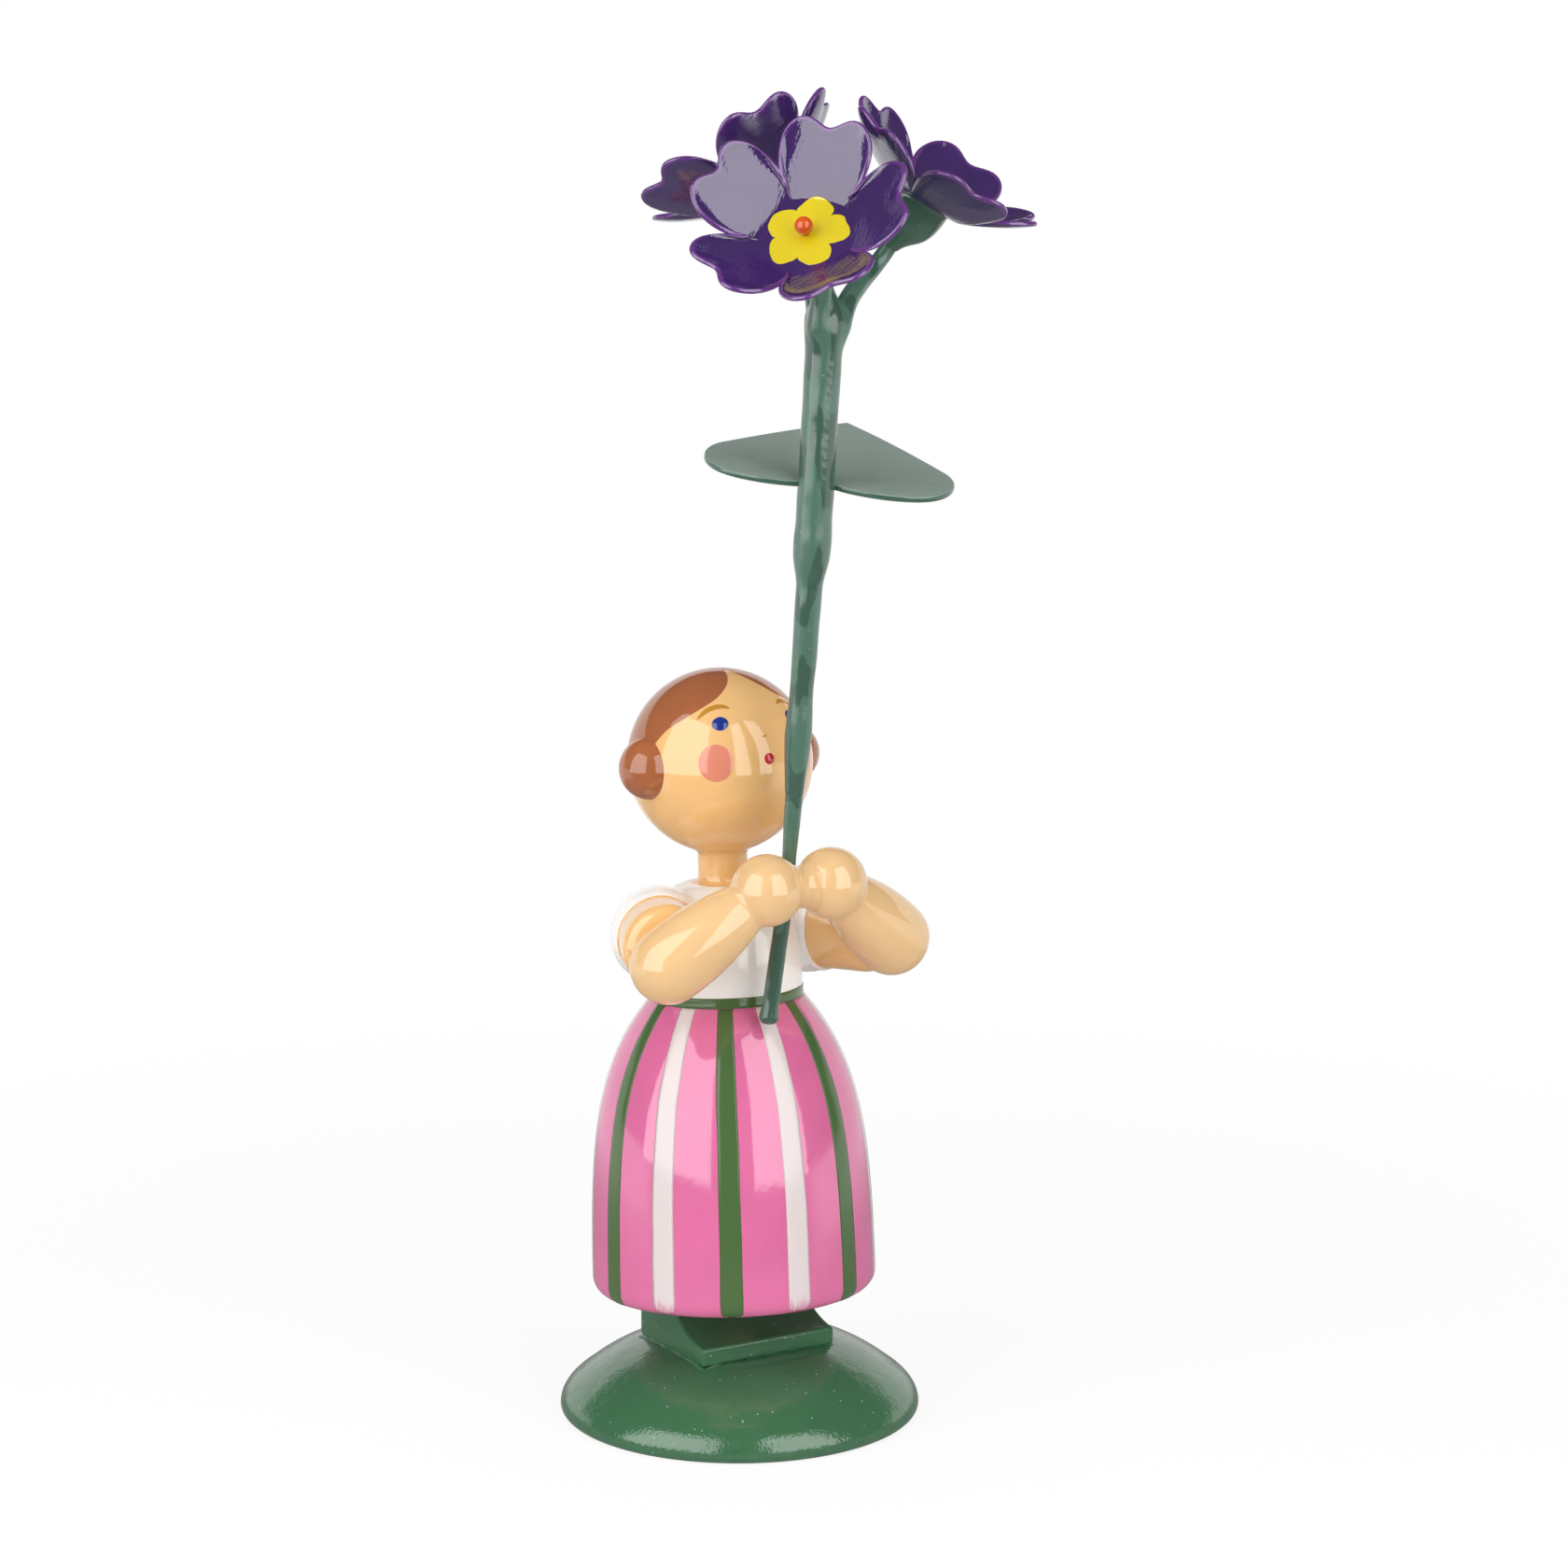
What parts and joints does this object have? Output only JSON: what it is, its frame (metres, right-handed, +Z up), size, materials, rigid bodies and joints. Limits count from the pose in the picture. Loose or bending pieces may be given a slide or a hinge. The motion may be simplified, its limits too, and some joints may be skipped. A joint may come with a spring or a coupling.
{
  "type": "turned wooden flower girl figure",
  "caption": "Turned wooden doll in a striped skirt on a round plinth, holding a tall stem with a cut leaf and bowl-shaped blossoms; a standing table ornament.",
  "frame": {"origin": "centre of the round plinth on its flat underside", "axes": "+Z up through the plinth, the figure faces -Y, +X is the left-hand side of the figure"},
  "size_m": [0.0357, 0.0472, 0.1204],
  "materials": {
    "plinth_green": "gloss lacquer over turned wood",
    "bare_wood": "bare turned wood, hidden inside the joints",
    "skirt_pink": "gloss lacquer over turned wood, painted stripes and belt",
    "blouse_white": "gloss lacquer over turned wood",
    "skin": "gloss lacquer over turned wood, painted face and hair",
    "hair_brown": "gloss lacquer over turned wood",
    "stem_wire_green": "satin green paint on drawn wire",
    "stem_wrap_green": "painted wrapping, slightly lumpy",
    "leaf_green": "satin paint on thin cut wood",
    "stalk_green": "satin green paint on drawn wire",
    "cup_green": "gloss lacquer over turned wood",
    "petal_purple": "gloss lacquer on thin formed petals, yellow painted centre",
    "pin_orange": "gloss paint on a round pin head"
  },
  "bodies": {
    "root": {"base_disc": "plinth_green", "shoe_block": "plinth_green", "stand_dowel": "bare_wood", "skirt": "skirt_pink", "torso": "blouse_white", "sleeve_right": "blouse_white", "sleeve_left": "blouse_white", "neck_peg": "skin", "head": "skin", "forearm_right": "skin", "forearm_left": "skin", "hair_bun_right": "hair_brown", "hair_bun_left": "hair_brown", "stem_wire": "stem_wire_green", "stem_wrap": "stem_wrap_green", "leaf": "leaf_green", "stalk_front": "stalk_green", "stalk_left": "stalk_green", "stalk_right": "stalk_green", "cup_front": "cup_green", "cup_left": "cup_green", "cup_right": "cup_green", "blossom_front": "petal_purple", "blossom_left": "petal_purple", "blossom_right": "petal_purple", "stamen_pin_front": "pin_orange", "stamen_pin_left": "pin_orange", "stamen_pin_right": "pin_orange"}
  },
  "joints": []
}
